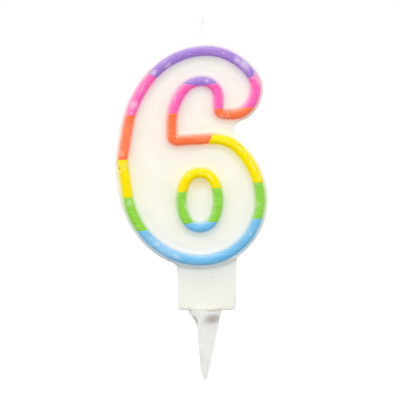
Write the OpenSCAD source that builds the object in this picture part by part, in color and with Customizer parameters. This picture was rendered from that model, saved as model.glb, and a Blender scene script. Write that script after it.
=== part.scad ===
// Number candle "6": a white wax slab with a rainbow bead line, a cotton wick and a push-in cake pick.
// The front faces -Y and +Z is up. The origin is on the pick's axis, in the plane of the foot's underside.

/* [Bead line: bowl] */
// Bowl's lowest point above the foot's underside
base_up = 13.2; // [12.4:0.1:15]
// Bowl's lowest point, left of the foot's middle
base_left = 1.8; // [0:0.1:3.5]
// Bowl's widest point, right of the foot's middle
bowl_reach = 14.1; // [13:0.1:16]
// Rise from the bowl's lowest point to its widest
bowl_rise = 16; // [14:0.1:18]
// Rise from the bowl's widest point to its shoulder
shoulder_rise = 14; // [12.5:0.1:15.5]
// Shoulder's distance in from the widest point
shoulder_in = 6.4; // [5.4:0.1:7.4]
// Downward slope of the bead at the shoulder, in degrees
shoulder_slope = 41; // [36:1:46]
// Rise from the shoulder to the bowl's top
top_rise = 2.1; // [1.7:0.1:2.6]
// Distance from the shoulder back to the bowl's top
top_in = 8; // [7:0.1:9]
// Drop from the bowl's top to its inner corner
corner_drop = 0.6; // [0:0.1:1.2]
// Bowl's inner corner, left of the foot's middle
corner_left = 9.3; // [8:0.1:10.4]

/* [Bead line: hook and crown] */
// Rise from the bowl's top to the hook's lowest point
hook_gap = 6.5; // [5.5:0.1:8]
// Hook's lowest point, right of the foot's middle
hook_low = 6.8; // [6:0.1:7.8]
// Rise from the hook's lowest point to its inner corner
tail_rise = 0.3; // [0.1:0.1:0.6]
// Upward slope of the bead as it comes to that corner, in degrees
tail_slope = 8; // [4:1:14]
// Hook's widest point, right of the foot's middle
hook_reach = 12.9; // [12:0.1:14.5]
// Rise from the hook's lowest point to its widest
hook_rise = 7.1; // [6:0.1:8]
// Rise from the hook's widest point to the brow
brow_rise = 4.1; // [3.5:0.1:4.8]
// Brow's distance in from the hook's widest point
brow_in = 1.7; // [1.3:0.1:2.1]
// Downward slope of the bead at the brow, in degrees
brow_slope = 51; // [46:1:56]
// Rise from the brow to the crown's top
crown_rise = 5.6; // [4.8:0.1:6.4]
// Crown's top, right of the foot's middle
crown_right = 0; // [-2:0.1:2]

/* [Bead line: inner arch] */
// Arch's right leg, right of the foot's middle
leg_right = 3; // [2.4:0.1:4]
// Height of the arch's right leg above the hook's inner corner
leg_rise = 4.2; // [3.4:0.1:5.4]
// Rise from that leg to the arch's top
arch_rise = 4.3; // [3.6:0.1:5]
// Arch's top, left of the foot's middle
arch_left = 1.3; // [0.4:0.1:2]
// Drop from the arch's top to its left flank
flank_drop = 2.5; // [2:0.1:3]
// Flank's distance in from the arch's left leg
flank_in = 2.9; // [2.4:0.1:3.4]
// Downward slope of the bead at the flank, in degrees
flank_slope = 53; // [48:1:58]
// Straight height of the arch's left leg above the bowl's inner corner
leg_straight = 4.6; // [3:0.1:6]

/* [Bead line: back] */
// Back's furthest point, left of the foot's middle
back_reach = 22.2; // [21:0.1:24]
// Start of the back's bend above the bowl's lowest point
bend_up = 25; // [23.5:0.1:26.5]
// Length of the bend
bend_len = 2.3; // [1.6:0.1:3]
// Straight length of the back below its bend
low_back = 7.8; // [6.6:0.1:9]
// How far the back leans in over that length
low_lean = 1.2; // [0.8:0.1:1.6]
// Straight length of the back above its bend
high_back = 8; // [6.8:0.1:9.2]
// How far the back leans in over that length
high_lean = 1.3; // [0.9:0.1:1.7]

/* [Bead line: closed counter] */
// Width of the counter's ring, at the middle of its bead
counter_w = 9.8; // [8:0.1:12]
// Height of the counter's ring, at the middle of its bead
counter_h = 14.5; // [12:0.1:17]
// Middle of the ring above the bowl's lowest point
counter_up = 15.9; // [14.5:0.1:17.5]
// Middle of the ring, left of the foot's middle
counter_left = 1.9; // [0:0.1:3.5]

/* [Bead] */
// Width of the half-round bead
bead_w = 2.6; // [1.8:0.1:3]
// Height of the bead above the wax
bead_h = 1.2; // [0.8:0.05:1.3]
// Radius left on the inner side of the bead's two tight corners
corner_inside = 0.15; // [0.1:0.05:0.6]

/* [Colour changes, measured along the bead] */
// Violet to pink, past the brow
violet_end = 1.3; // [0.6:0.1:3]
// Pink to orange, past the hook's widest point
hook_pink_end = 5.6; // [4:0.1:7]
// Orange to pink, past the foot of the arch's right leg
hook_orange_end = 0; // [-0.6:0.1:1]
// Pink to violet, past the top of that leg
arch_pink_end = 4.1; // [3:0.1:4.8]
// Violet to pink, past the arch's top
arch_violet_end = 3.5; // [2.6:0.1:4.2]
// Pink to orange, past the arch's flank
flank_pink_end = 6.6; // [5:0.1:8]
// Orange to yellow, past the bowl's inner corner
corner_orange_end = 8.7; // [7:0.1:10]
// Yellow to green, past the shoulder
shoulder_yellow_end = 11.2; // [9:0.1:13]
// Green to blue, past the bowl's widest point
bowl_green_end = 5; // [3.5:0.1:7]
// Blue to green, past the bowl's lowest point
base_blue_end = 17.9; // [16:0.1:20]
// Green to yellow, before the back's lower straight
back_green_end = 0.6; // [0:0.1:2]
// Yellow to orange, past the start of the bend
bend_yellow_end = 1.6; // [0.8:0.1:2.6]
// Orange to pink, past the end of the upper straight
back_orange_end = 3.2; // [2:0.1:4.4]
// Pink to violet, past the end of the upper straight
back_pink_end = 15.3; // [13:0.1:18]
// Yellow to green in the counter, before its right-hand side
counter_right_yellow = 3.3; // [2:0.1:4.5]
// Green to blue in the counter, past its right-hand side
counter_right_green = 6; // [5:0.1:6.6]
// Blue to green in the counter, before its left-hand side
counter_left_blue = 6.5; // [5:0.1:6.8]
// Green to yellow in the counter, past its left-hand side
counter_left_green = 2.3; // [1:0.1:4]
// Rise of the colour edges towards the right, in degrees
edge_rise = 4; // [0:1:12]
// The same beside the violet on the inner arch, rising away from it on both sides
arch_edge = 9; // [4:1:30]
// The same at the right-hand end of the counter's blue
counter_edge_right = -4; // [-20:1:10]
// The same at the left-hand end of the counter's blue
counter_edge_left = 14; // [4:1:30]
// The same at the violet's right-hand end
violet_edge_right = 36; // [24:1:44]
// The same at the violet's left-hand end
violet_edge_left = -32; // [-46:1:-24]
// The same where orange meets yellow on the bowl's top
bowl_edge = 62; // [56:1:90]

/* [Wax slab] */
// Thickness of the slab, without the bead
slab_t = 9; // [8:0.1:14]
// Flat wax left beside the bead
bead_land = 0.3; // [0.1:0.05:0.5]
// Radius along the slab's front edge
front_round = 0.4; // [0.2:0.05:0.8]
// Radius along the slab's back edge
back_round = 0.5; // [0.2:0.05:1]
// How much wider the slab is at its back, on each side
draft = 0.2; // [0:0.05:0.5]
// Extra wax beside the bead below the back's bend
low_extra = 0.4; // [0:0.05:0.5]
// Extra wax beside the bead above the back's bend
high_extra = 0.2; // [0:0.05:0.5]
// Length of bead over which the extra wax swells and fades, on each side of the bend
extra_len = 14; // [10:0.5:16]
// Radius in the notch between hook and bowl
notch_r = 2.7; // [1.8:0.1:3.2]

/* [Foot] */
// Width of the foot at its underside
foot_w = 15.4; // [13.5:0.1:17]
// How much wider the foot is under the bowl, on each side
foot_flare = 0.2; // [0:0.05:0.4]
// Middle of the foot and of the numeral, right of the pick's axis
foot_shift = 0.5; // [-1:0.1:1]
// Radius where the foot runs into the bowl
foot_fillet = 2.2; // [1:0.1:2.6]

/* [Wick] */
// Diameter of the wick
wick_d = 1.9; // [1.2:0.1:2.4]
// Wick's place, left of the foot's middle
wick_left = 2.5; // [0:0.1:4]
// Length of wick that stands out of the wax
wick_out = 7.9; // [6.5:0.1:12]
// Length of wick set in the wax
wick_in = 45; // [25:1:52]
// Upright length of the wick before its bend
wick_upright = 1.6; // [1.2:0.1:2.4]
// Bend radius of the wick
wick_bend_r = 12; // [8:0.5:18]
// Lean of the wick's end, in degrees
wick_lean = 11; // [4:1:18]
// Gap between the wick and its channel
wick_gap = 0.03; // [0.01:0.01:0.1]

/* [Pick] */
// Diameter of the pick's head, under the foot
head_d = 9; // [7:0.1:10]
// Length of the pick below the foot
pick_len = 18.4; // [15:0.1:24]
// Radius of the pick's rounded point
point_r = 0.8; // [0.5:0.05:1]
// Height of the head that is left round above the flats
head_h = 1; // [0.4:0.1:1.8]
// Distance from the axis to the flat between two fins, in the plane of the foot's underside
flat_out = 2.65; // [2.25:0.05:2.75]
// How far a flat leans in towards the point, in degrees
flat_lean = 5; // [3:0.5:6]
// Radius where a flat runs out under the head
flat_runout = 5.5; // [3:0.1:7]
// Turn of the first fin from +X, in degrees
fin_turn = 4; // [-30:1:30]
// Diameter of the peg in the wax
peg_d = 3.8; // [3:0.1:5]
// Length of the peg
peg_len = 9; // [6:0.1:11]
// Chamfer on the peg's end
peg_chamfer = 0.5; // [0.2:0.1:1]
// Gap round the peg in its socket
peg_gap = 0.05; // [0.02:0.01:0.2]
// Spare depth of the socket past the peg
socket_spare = 0.5; // [0.2:0.1:1]

/* [Hidden] */
$fn = 72;
// Below this a bend counts as straight and a length as nothing
tiny = 0.001;
// How far cuts reach past the faces they open
cut_over = 1;
// Room for the cuts that run right out of the wax
cut_room = 40;
violet = "#a078d7";
pink = "#ff55b4";
orange = "#ff783c";
yellow = "#ffe600";
green = "#8cdc41";
blue = "#6eb9f0";
wax_white = "#f5f3eb";
cotton = "#f2ead6";
pick_white = "#e4e4de";

// Places worked out from the sizes above
shoulder_z = base_up + bowl_rise + shoulder_rise;
shoulder_x = bowl_reach - shoulder_in;
bowl_top_x = shoulder_x - top_in;
bowl_top_z = shoulder_z + top_rise;
hook_z = bowl_top_z + hook_gap;
brow_z = hook_z + hook_rise + brow_rise;
crown_z = brow_z + crown_rise;
hook_corner_z = hook_z + tail_rise;
arch_z = hook_corner_z + leg_rise + arch_rise;
corner_z = bowl_top_z - corner_drop;
bend_z = base_up + bend_up;
bend_end_z = bend_z + bend_len;
corner_heading = atan2(corner_drop, bowl_top_x + corner_left);
low_heading = 90 + atan2(low_lean, low_back);
high_heading = 90 - atan2(high_lean, high_back);
counter_z = base_up + counter_up;
corner_r = bead_w / 2 + corner_inside;
hook_tangent = corner_r * tan((90 - tail_slope) / 2);
bowl_tangent = corner_r * tan((90 + corner_heading) / 2);

// Key points of the bead's middle line, clockwise: across, up and heading
BROW = 1;
HOOK_SIDE = 2;
LEG_FOOT = 5;
LEG_TOP = 6;
ARCH_TOP = 7;
FLANK = 8;
CORNER_OUT = 11;
BOWL_TOP = 12;
SHOULDER = 13;
BOWL_SIDE = 14;
BASE = 15;
LOW_BACK = 16;
BEND = 17;
HIGH_BACK = 19;
numeral_keys = [
    [crown_right, crown_z, 0],
    [hook_reach - brow_in, brow_z, -brow_slope],
    [hook_reach, hook_z + hook_rise, -90],
    [hook_low, hook_z, 180],
    [
        leg_right + hook_tangent * cos(tail_slope),
        hook_corner_z - hook_tangent * sin(tail_slope),
        180 - tail_slope,
    ],
    [leg_right, hook_corner_z + hook_tangent, 90],
    [leg_right, hook_corner_z + leg_rise, 90],
    [-arch_left, arch_z, 180],
    [flank_in - corner_left, arch_z - flank_drop, 180 + flank_slope],
    [-corner_left, corner_z + leg_straight, -90],
    [-corner_left, corner_z + bowl_tangent, -90],
    [
        bowl_tangent * cos(corner_heading) - corner_left,
        corner_z + bowl_tangent * sin(corner_heading),
        corner_heading,
    ],
    [bowl_top_x, bowl_top_z, corner_heading],
    [shoulder_x, shoulder_z, -shoulder_slope],
    [bowl_reach, base_up + bowl_rise, -90],
    [-base_left, base_up, 180],
    [low_lean - back_reach, bend_z - low_back, low_heading],
    [-back_reach, bend_z, low_heading],
    [-back_reach, bend_end_z, high_heading],
    [high_lean - back_reach, bend_end_z + high_back, high_heading],
];
RING_RIGHT = 1;
RING_LEFT = 3;
counter_keys = [
    [-counter_left, counter_z + counter_h / 2, 0],
    [counter_w / 2 - counter_left, counter_z, -90],
    [-counter_left, counter_z - counter_h / 2, 180],
    [-counter_w / 2 - counter_left, counter_z, 90],
];

// Bead lengths, clockwise: name, colour, the key point its start is measured from, the way past it, edge slope
numeral_beads = [
    ["violet_crown", violet, HIGH_BACK, back_pink_end, violet_edge_left],
    ["pink_hook", pink, BROW, violet_end, violet_edge_right],
    ["orange_hook", orange, HOOK_SIDE, hook_pink_end, edge_rise],
    ["pink_arch_right", pink, LEG_FOOT, hook_orange_end, edge_rise],
    ["violet_arch", violet, LEG_TOP, arch_pink_end, arch_edge],
    ["pink_arch_left", pink, ARCH_TOP, arch_violet_end, -arch_edge],
    ["orange_corner", orange, FLANK, flank_pink_end, edge_rise],
    ["yellow_shoulder", yellow, CORNER_OUT, corner_orange_end, bowl_edge],
    ["green_right", green, SHOULDER, shoulder_yellow_end, edge_rise],
    ["blue_base", blue, BOWL_SIDE, bowl_green_end, edge_rise],
    ["green_left", green, BASE, base_blue_end, edge_rise],
    ["yellow_left", yellow, LOW_BACK, -back_green_end, edge_rise],
    ["orange_left", orange, BEND, bend_yellow_end, edge_rise],
    ["pink_left", pink, HIGH_BACK, back_orange_end, edge_rise],
];
counter_beads = [
    ["yellow_counter", yellow, RING_LEFT, counter_left_green, edge_rise],
    ["green_counter_right", green, RING_RIGHT, -counter_right_yellow, edge_rise],
    ["blue_counter", blue, RING_RIGHT, counter_right_green, counter_edge_right],
    ["green_counter_left", green, RING_LEFT, -counter_left_blue, counter_edge_left],
];
bead_names = [for (b = concat(numeral_beads, counter_beads)) b[0]];

// Headings are in degrees anticlockwise from +X
function toward(heading) = [cos(heading), sin(heading)];
function left_of(heading) = [-sin(heading), cos(heading)];
function bearing(v) = atan2(v.y, v.x);
function half_turn(angle) = angle - 360 * round(angle / 360);

// An arc is [across, up, heading, degrees of turn per mm, length], and this one runs from p to q
function arc_to(p, heading, q) =
    let (chord = norm(q - p), off = half_turn(bearing(q - p) - heading))
    let (length = abs(off) < tiny ? chord : chord * off * PI / 180 / sin(off))
    [p.x, p.y, heading, 2 * off / length, length];
function arc_end_heading(arc) = arc[2] + arc[3] * arc[4];
function arc_radius(arc) = 180 / PI / arc[3];
function arc_centre(arc) = [arc.x, arc.y] + arc_radius(arc) * left_of(arc[2]);
function arc_point(arc, way) =
    let (heading = arc[2] + arc[3] * way)
    abs(arc[3]) < tiny
        ? [arc.x, arc.y] + way * toward(arc[2])
        : arc_centre(arc) - arc_radius(arc) * left_of(heading);

// Two arcs of equal tangent length that join two key points smoothly, or one straight
function span(a, b) =
    let (p = [a.x, a.y], q = [b.x, b.y], t = toward(a[2]), u = toward(b[2]))
    let (v = q - p, k = 2 * (1 - t * u), w = v * (t + u))
    let (reach = k < tiny ^ 2 ? 0 : (sqrt(w * w + k * v * v) - w) / k)
    let (join = (p + q + reach * (t - u)) / 2, first = arc_to(p, a[2], join))
    k < tiny ^ 2 ? [arc_to(p, a[2], q)] : [first, arc_to(join, arc_end_heading(first), q)];
function spans(keys) = [for (i = [0 : len(keys) - 1]) span(keys[i], keys[(i + 1) % len(keys)])];
function total(v, n) = n == 0 ? 0 : v[n - 1] + total(v, n - 1);
function lengths(arcs) = [for (arc = arcs) arc[4]];
function lap(arcs) = total(lengths(arcs), len(arcs));

// A line is its arcs, each arc's distance along it, each key point's distance along it, and its length
function bead_line(keys) =
    let (parts = spans(keys), arcs = [for (part = parts) each part])
    let (per_span = [for (part = parts) lap(part)])
    [
        arcs,
        [for (i = [0 : len(arcs) - 1]) total(lengths(arcs), i)],
        [for (i = [0 : len(keys) - 1]) total(per_span, i)],
        lap(arcs),
    ];
numeral = bead_line(numeral_keys);
counter = bead_line(counter_keys);

// Place and heading at a distance along a line, which may be more than one lap
function along(line, way) =
    let (round_way = way - line[3] * floor(way / line[3]))
    let (i = max([for (j = [0 : len(line[1]) - 1]) if (line[1][j] <= round_way) j]))
    let (arc = line[0][i], rest = round_way - line[1][i], p = arc_point(arc, rest))
    [p.x, p.y, arc[2] + arc[3] * rest];

// Outline of the slab: the bead's outer side, the notch and the foot
rim = bead_w / 2 + bead_land + front_round;
outline_step = 1;
fillet_steps = 10;
// How far the outline runs below the foot before it is cut off flat
foot_trim = 3;
function first_arc(key) = len([for (i = [0 : 1 : key - 1]) each spans(numeral_keys)[i]]);
function last_arc(key) = first_arc(key + 1) - 1;
function rim_radius(i) = abs(arc_radius(numeral[0][i])) + rim;
function facing(i, v) =
    let (turn = half_turn(bearing(v) - 90 - numeral[0][i][2]))
    numeral[1][i] + turn / numeral[0][i][3];

hook_arc = last_arc(HOOK_SIDE);
shoulder_arc = last_arc(BOWL_TOP);
right_arc = last_arc(BOWL_SIDE);
left_arc = first_arc(BASE);

// Centre of the notch, which touches the hook's rim and the shoulder's
hook_middle = arc_centre(numeral[0][hook_arc]);
shoulder_middle = arc_centre(numeral[0][shoulder_arc]);
apart = norm(shoulder_middle - hook_middle);
hook_to_notch = rim_radius(hook_arc) + notch_r;
shoulder_to_notch = rim_radius(shoulder_arc) + notch_r;
notch_share = (hook_to_notch ^ 2 - shoulder_to_notch ^ 2 + apart ^ 2) / (2 * apart);
notch_side = sqrt(max(0, hook_to_notch ^ 2 - notch_share ^ 2));
notch_bearing = bearing(shoulder_middle - hook_middle);
notch_middle = hook_middle + notch_share * toward(notch_bearing) + notch_side * left_of(notch_bearing);

// Centres of the two fillets between the bowl and the foot
function fillet_middle(i, side) =
    let (c = arc_centre(numeral[0][i]), x = side * (foot_w / 2 + foot_flare + foot_fillet))
    [x, c.y - sqrt((rim_radius(i) + foot_fillet) ^ 2 - (x - c.x) ^ 2)];
right_fillet = fillet_middle(right_arc, 1);
left_fillet = fillet_middle(left_arc, -1);
// Half the foot's width where the outline ends below it
function foot_end(fillet) = foot_w / 2 - foot_flare * foot_trim / fillet.y;

// The rim is wider above and below the middle of the back's bend
bend_middle = (numeral[2][BEND] + numeral[2][BEND + 1]) / 2;
function rim_at(way) =
    let (off = min(1, abs(way - bend_middle) / extra_len))
    rim + (way < bend_middle ? low_extra : high_extra) * (1 - cos(360 * off)) / 2;

// Outline points are [across, up, outward across, outward up]
function rim_points(from, to) =
    let (n = ceil((to - from) / outline_step))
    [for (i = [0 : n])
        let (way = from + (to - from) * i / n, at = along(numeral, way))
        let (out = left_of(at[2]), p = [at.x, at.y] + rim_at(way) * out)
        [p.x, p.y, out.x, out.y]];
function hollow_points(middle, r, from, to) =
    [for (i = [1 : fillet_steps - 1])
        let (out = -toward(from + (to - from) * i / fillet_steps))
        [middle.x - r * out.x, middle.y - r * out.y, out.x, out.y]];
to_hook = bearing(hook_middle - notch_middle);
to_shoulder = bearing(shoulder_middle - notch_middle) + 360;
to_right = bearing(arc_centre(numeral[0][right_arc]) - right_fillet);
to_left = bearing(arc_centre(numeral[0][left_arc]) - left_fillet);
hook_leave = facing(hook_arc, notch_middle - hook_middle);
shoulder_join = facing(shoulder_arc, notch_middle - shoulder_middle);
right_leave = facing(right_arc, right_fillet - arc_centre(numeral[0][right_arc]));
left_join = facing(left_arc, left_fillet - arc_centre(numeral[0][left_arc]));
outline = concat(
    rim_points(left_join, numeral[3] + hook_leave),
    hollow_points(notch_middle, notch_r, to_hook, to_shoulder),
    rim_points(shoulder_join, right_leave),
    hollow_points(right_fillet, foot_fillet, to_right, 180),
    [
        [foot_w / 2 + foot_flare, right_fillet.y, 1, 0],
        [foot_end(right_fillet), -foot_trim, 1, -1],
        [-foot_end(left_fillet), -foot_trim, -1, -1],
        [-foot_w / 2 - foot_flare, left_fillet.y, -1, 0],
    ],
    hollow_points(left_fillet, foot_fillet, 0, to_left)
);

// Slab's edge, front to back: depth behind the front face, and how far out from the rim
edge_steps = 4;
slab_edge = concat(
    [for (i = [0 : edge_steps])
        let (a = 90 * i / edge_steps)
        [front_round * (1 - cos(a)), -front_round * (1 - sin(a))]],
    [for (i = [0 : edge_steps])
        let (a = 90 * i / edge_steps)
        [slab_t - back_round * (1 - sin(a)), draft - back_round * (1 - cos(a))]]
);
// A point that sees the whole outline, between the hook and the bowl
hub = [0, (bowl_top_z + hook_z) / 2];

// Stands the numeral's plane up, with its front towards -Y
module upright() {
    translate([foot_shift, 0, 0]) rotate([90, 0, 0]) children();
}

// Joins closed rings of points in order, and closes each end with a fan about a point in it
module loft(rings, first_hub, last_hub) {
    n = len(rings[0]);
    last = n * (len(rings) - 1);
    hubs = last + n;
    sides = [for (j = [0 : len(rings) - 2], i = [0 : n - 1])
        let (a = j * n + i, b = j * n + (i + 1) % n)
        each [[a, a + n, b + n], [a, b + n, b]]];
    first_end = [for (i = [0 : n - 1]) [hubs, i, (i + 1) % n]];
    last_end = [for (i = [0 : n - 1]) [hubs + 1, last + (i + 1) % n, last + i]];
    polyhedron(
        concat([for (ring = rings) each ring], [first_hub, last_hub]),
        concat(first_end, sides, last_end)
    );
}

module slab() {
    rings = [for (e = slab_edge) [for (o = outline)
        [o.x + e.y * o[2], o.y + e.y * o[3], slab_t / 2 - e.x]]];
    loft(rings, [hub.x, hub.y, slab_t / 2], [hub.x, hub.y, -slab_t / 2]);
}

// Wick: upright in the wax, then a bend and a leaning end
wick_join = along(numeral, numeral[3] - crown_right - wick_left);
wick_exit_z = wick_join.y + rim;
wick_base_z = wick_exit_z - wick_in;
wick_bend_z = wick_exit_z + wick_upright;
wick_end = wick_out - wick_upright - wick_bend_r * wick_lean * PI / 180;

socket_len = peg_len + socket_spare;

module wax_body() {
    color(wax_white)
    difference() {
        upright() slab();
        translate([-cut_room, -cut_room, -2 * cut_room]) cube(2 * cut_room);
        translate([foot_shift - wick_left, 0, wick_base_z - wick_gap])
            cylinder(d = wick_d + 2 * wick_gap, h = wick_in + cut_room);
        translate([0, 0, -cut_over]) cylinder(d = peg_d + 2 * peg_gap, h = socket_len + cut_over);
        rotate(180) past_foot_edge(front_round);
        past_foot_edge(back_round);
    }
}

// What is taken away outside the rounded edge at the back of the foot's underside
module past_foot_edge(r) {
    rotate([90, 0, 90]) translate([slab_t / 2 - r, r, -cut_room])
        linear_extrude(2 * cut_room) difference() {
            translate([0, -r - cut_over]) square(r + cut_over);
            circle(r);
        }
}

wick_sides = 24;
wick_bend_steps = 5;
wick_line = concat(
    [[-wick_left, wick_base_z, 90]],
    [for (i = [0 : wick_bend_steps])
        let (lean = wick_lean * i / wick_bend_steps)
        [
            wick_bend_r * (1 - cos(lean)) - wick_left,
            wick_bend_z + wick_bend_r * sin(lean),
            90 - lean,
        ]]
);
wick_bent = wick_line[wick_bend_steps + 1];
wick_tip = [wick_bent.x + wick_end * sin(wick_lean), wick_bent.y + wick_end * cos(wick_lean), wick_bent[2]];
function wick_ring(at) =
    [for (i = [0 : wick_sides - 1])
        let (a = 360 * i / wick_sides, out = wick_d / 2 * cos(a) * left_of(at[2]))
        [at.x + out.x, at.y + out.y, wick_d / 2 * sin(a)]];

module wick() {
    color(cotton)
    upright() loft(
        [for (at = concat(wick_line, [wick_tip])) wick_ring(at)],
        [wick_line[0].x, wick_line[0].y, 0],
        [wick_tip.x, wick_tip.y, 0]
    );
}

// Pick: a cone with three flats that leave fins between them, and a peg that the wax foot slides on
fins = 3;
cone_slope = (head_d / 2 - point_r) / (pick_len - point_r);
head_r = head_d / 2 - cone_slope * head_h;
point_steps = 6;

// Centre of a flat's run-out: it touches the flat, and meets the cone where the round head ends
flat_tan = tan(flat_lean);
runout_off = flat_out + flat_runout / cos(flat_lean) - head_r;
runout_mid = runout_off * flat_tan + head_h;
runout_rest = (1 + flat_tan ^ 2) * (runout_off ^ 2 + head_h ^ 2 - flat_runout ^ 2);
runout_down = (runout_mid + sqrt(runout_mid ^ 2 - runout_rest)) / (1 + flat_tan ^ 2);
runout_centre = [head_r + runout_off - runout_down * flat_tan, -runout_down];
runout_steps = 10;

module pick() {
    color(pick_white)
    difference() {
        rotate_extrude() polygon(concat(
            [
                [0, peg_len],
                [peg_d / 2 - peg_chamfer, peg_len],
                [peg_d / 2, peg_len - peg_chamfer],
                [peg_d / 2, 0],
                [head_d / 2, 0],
            ],
            [for (i = [0 : point_steps])
                let (a = 90 * i / point_steps)
                [point_r * cos(a), point_r * (1 - sin(a)) - pick_len]]
        ));
        for (i = [0 : fins - 1])
            rotate(fin_turn + (i + 0.5) * 360 / fins) past_flat();
    }
}

// What is taken away outside one flat: out past the cone, and down past the point
module past_flat() {
    lowest = -pick_len - cut_over;
    rotate([90, 0, 0]) translate([0, 0, -head_d])
        linear_extrude(2 * head_d) polygon(concat(
            [
                [head_d, lowest],
                [flat_out + lowest * flat_tan, lowest],
            ],
            [for (i = [0 : runout_steps])
                let (a = flat_lean + (90 - flat_lean) * i / runout_steps)
                runout_centre + flat_runout * [-cos(a), sin(a)]],
            [[head_d, runout_centre.y + flat_runout]]
        ));
}

// Half-round section of the bead, left to right over the top: offset to the left, and height
bead_sides = 8;
bead_r = (bead_h ^ 2 + (bead_w / 2) ^ 2) / (2 * bead_h);
bead_swing = asin(bead_w / 2 / bead_r);
bead_section = [for (i = [0 : bead_sides])
    let (a = bead_swing * (1 - 2 * i / bead_sides))
    [bead_r * sin(a), bead_r * cos(a) - bead_r + bead_h]];
bead_flatness = 0.02;
// From the foot of an end's section up to the point that closes it
hub_lift = [0, 0, bead_h / 3];

// Place at an offset to the left of a line
function beside(line, way, offset) =
    let (at = along(line, way))
    [at.x, at.y] + offset * left_of(at[2]);

// How far each way along the bead a colour edge is looked for
edge_room = 1.3 * bead_w;
halvings = 30;
// Distance along a line at which an offset from it crosses a colour edge, by halving
function crossing(line, offset, edge, slope, low, high, n = halvings) =
    let (middle = (low + high) / 2)
    let (ahead = (beside(line, middle, offset) - edge) * left_of(slope))
    let (start = (beside(line, low, offset) - edge) * left_of(slope))
    n == 0 ? middle
        : ahead * start > 0
            ? crossing(line, offset, edge, slope, middle, high, n - 1)
            : crossing(line, offset, edge, slope, low, middle, n - 1);
function edge_shifts(line, way, slope) =
    let (edge = beside(line, way, 0))
    [for (q = bead_section) crossing(line, q.x, edge, slope, way - edge_room, way + edge_room) - way];

// Distances of the rings along a bead, closer where the line bends more
function ring_ways(line, from, to) =
    [
        for (turn = [0, 1], i = [0 : len(line[0]) - 1])
        let (arc = line[0][i], start = line[1][i] + turn * line[3])
        let (low = max(from, start), high = min(to, start + arc[4]))
        let (step = abs(arc[3]) < tiny ? arc[4] : sqrt(8 * bead_flatness * abs(arc_radius(arc))))
        if (high - low > tiny)
        let (n = ceil((high - low) / step))
        each [for (j = [0 : n - 1]) low + (high - low) * j / n],
        to,
    ];

// One colour's length of bead, between its own colour edge and the next one's
module bead(line, beads, i) {
    next = beads[(i + 1) % len(beads)];
    from = line[2][beads[i][2]] + beads[i][3];
    end = line[2][next[2]] + next[3];
    to = end > from ? end : end + line[3];
    first_shifts = edge_shifts(line, from, beads[i][4]);
    last_shifts = edge_shifts(line, to, next[4]);
    rings = [for (way = ring_ways(line, from, to))
        let (share = 2 * (way - from) / (to - from) - 1)
        [for (k = [0 : bead_sides])
            let (shift = share < 0 ? -share * first_shifts[k] : share * last_shifts[k])
            let (p = beside(line, way + shift, bead_section[k].x))
            [p.x, p.y, slab_t / 2 + bead_section[k].y]]];
    first_hub = (rings[0][0] + rings[0][bead_sides]) / 2;
    last_ring = rings[len(rings) - 1];
    last_hub = (last_ring[0] + last_ring[bead_sides]) / 2;
    color(beads[i][1]) upright() loft(rings, first_hub + hub_lift, last_hub + hub_lift);
}

wax_body();
wick();
pick();
for (i = [0 : len(numeral_beads) - 1])
    bead(numeral, numeral_beads, i);
for (i = [0 : len(counter_beads) - 1])
    bead(counter, counter_beads, i);
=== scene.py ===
import math
from typing import NamedTuple

import bmesh
import bpy
import numpy as np
from mathutils import Matrix, Vector, noise
from mathutils.bvhtree import BVHTree


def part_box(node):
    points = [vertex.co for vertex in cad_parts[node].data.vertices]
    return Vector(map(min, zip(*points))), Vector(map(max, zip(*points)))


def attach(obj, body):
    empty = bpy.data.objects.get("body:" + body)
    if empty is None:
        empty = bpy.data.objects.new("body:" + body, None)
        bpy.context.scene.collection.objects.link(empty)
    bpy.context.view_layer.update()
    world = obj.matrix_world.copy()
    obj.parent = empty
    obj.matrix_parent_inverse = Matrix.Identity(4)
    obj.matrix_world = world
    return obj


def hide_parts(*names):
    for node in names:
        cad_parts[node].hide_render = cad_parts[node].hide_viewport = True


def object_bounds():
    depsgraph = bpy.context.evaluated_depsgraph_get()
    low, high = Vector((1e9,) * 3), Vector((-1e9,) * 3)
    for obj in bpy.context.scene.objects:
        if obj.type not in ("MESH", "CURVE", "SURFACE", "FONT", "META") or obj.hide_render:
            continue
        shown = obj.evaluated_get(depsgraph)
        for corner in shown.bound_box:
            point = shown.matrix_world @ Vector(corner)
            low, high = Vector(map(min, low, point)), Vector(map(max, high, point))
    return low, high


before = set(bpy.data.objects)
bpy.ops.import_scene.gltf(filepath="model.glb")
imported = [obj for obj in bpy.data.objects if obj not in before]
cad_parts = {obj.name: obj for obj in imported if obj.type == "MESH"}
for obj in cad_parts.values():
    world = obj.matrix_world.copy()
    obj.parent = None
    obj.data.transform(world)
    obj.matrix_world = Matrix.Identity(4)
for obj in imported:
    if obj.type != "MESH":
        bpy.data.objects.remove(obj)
cad_low, cad_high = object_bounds()

# Metres in a millimetre, and the columns of a table of points
MM = 0.001
Y = 1
Z = 2

# Photograph: the front face that it shows, and where its pixels lie there
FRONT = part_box("wax_body")[0].y
PIXEL = 0.2646 * MM
PHOTO_SIDE = 400
AXIS_COLUMN = 205.1
FOOT_ROW = 310.5
FOOT_TOP_ROW = 259.5


def photo_point(column, row):
    """The point of the front face that a pixel of the photograph shows."""
    return Vector(((column - AXIS_COLUMN) * PIXEL, FRONT, (FOOT_ROW - row) * PIXEL))


# Colours, as the 0 to 255 values that they show, and the curve from such a value to light
FULL_VALUE = 255
CURVE_FOOT = 0.04045
CURVE_FOOT_SLOPE = 12.92
CURVE_OFFSET = 0.055
CURVE_POWER = 2.4


def light_of(value):
    """The light, from 0 to 1, that a value from 0 to 255 stands for."""
    part = value / FULL_VALUE
    if part <= CURVE_FOOT:
        return part / CURVE_FOOT_SLOPE
    return ((part + CURVE_OFFSET) / (1 + CURVE_OFFSET)) ** CURVE_POWER


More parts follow.
